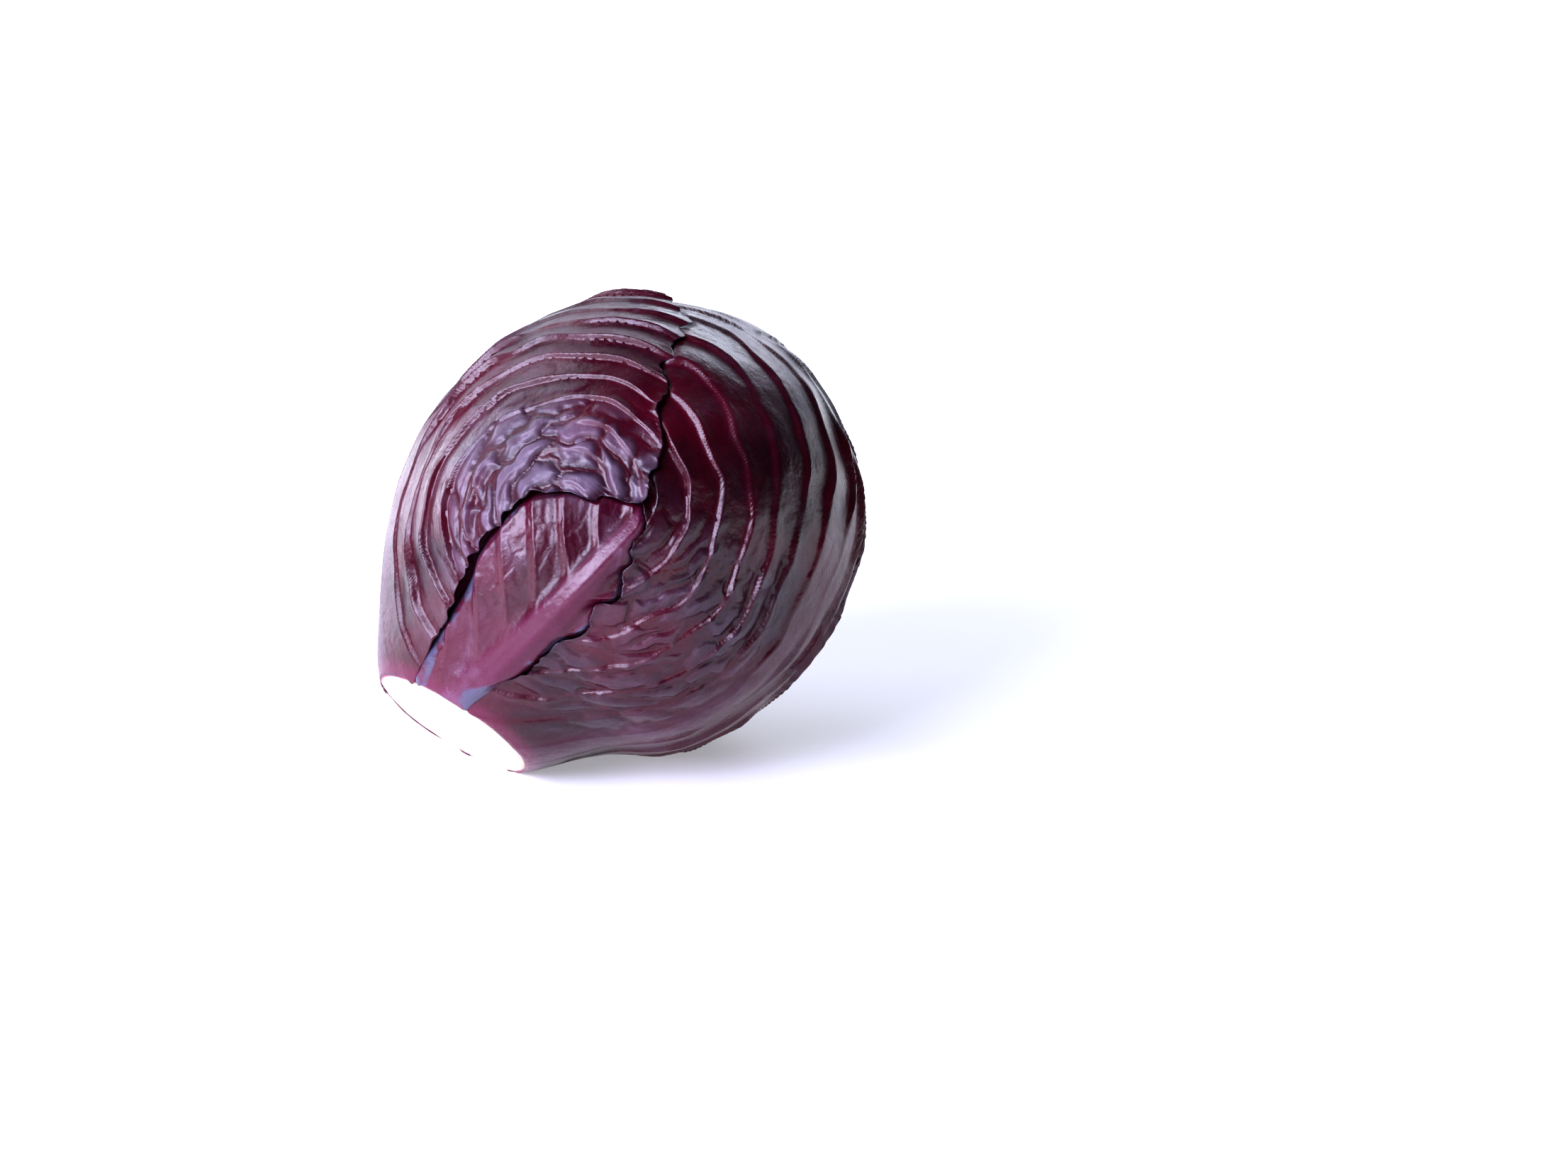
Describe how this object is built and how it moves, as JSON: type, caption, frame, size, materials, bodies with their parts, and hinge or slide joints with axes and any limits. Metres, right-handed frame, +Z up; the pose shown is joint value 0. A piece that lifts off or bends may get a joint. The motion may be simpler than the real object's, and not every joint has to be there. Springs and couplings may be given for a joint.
{
  "type": "red cabbage",
  "caption": "Whole round head of purple cabbage with overlapping wrapper leaves, resting on its side, with a slanting cut stalk.",
  "frame": {"origin": "middle of the bounding box seen from above, on the surface the head rests on", "axes": "+Z up, -Y towards the viewer of the picture, +X to the viewer's right; the stalk points to -X, -Y and down"},
  "size_m": [0.1594, 0.1482, 0.1523],
  "materials": {
    "outer_leaf": "waxy dark maroon leaf skin with a pale lilac bloom",
    "inner_leaf": "waxy magenta leaf skin with a pinkish midrib",
    "heart_leaf": "tight dark purple leaves",
    "cut_flesh": "moist cream cut flesh with a magenta skin at its rim"
  },
  "bodies": {
    "root": {"left_wrapper_leaf": "outer_leaf", "right_wrapper_leaf": "outer_leaf", "back_wrapper_leaf": "outer_leaf", "front_inner_leaf": "inner_leaf", "under_inner_leaf": "inner_leaf", "heart": "heart_leaf", "cut_stalk": "cut_flesh"}
  },
  "joints": []
}
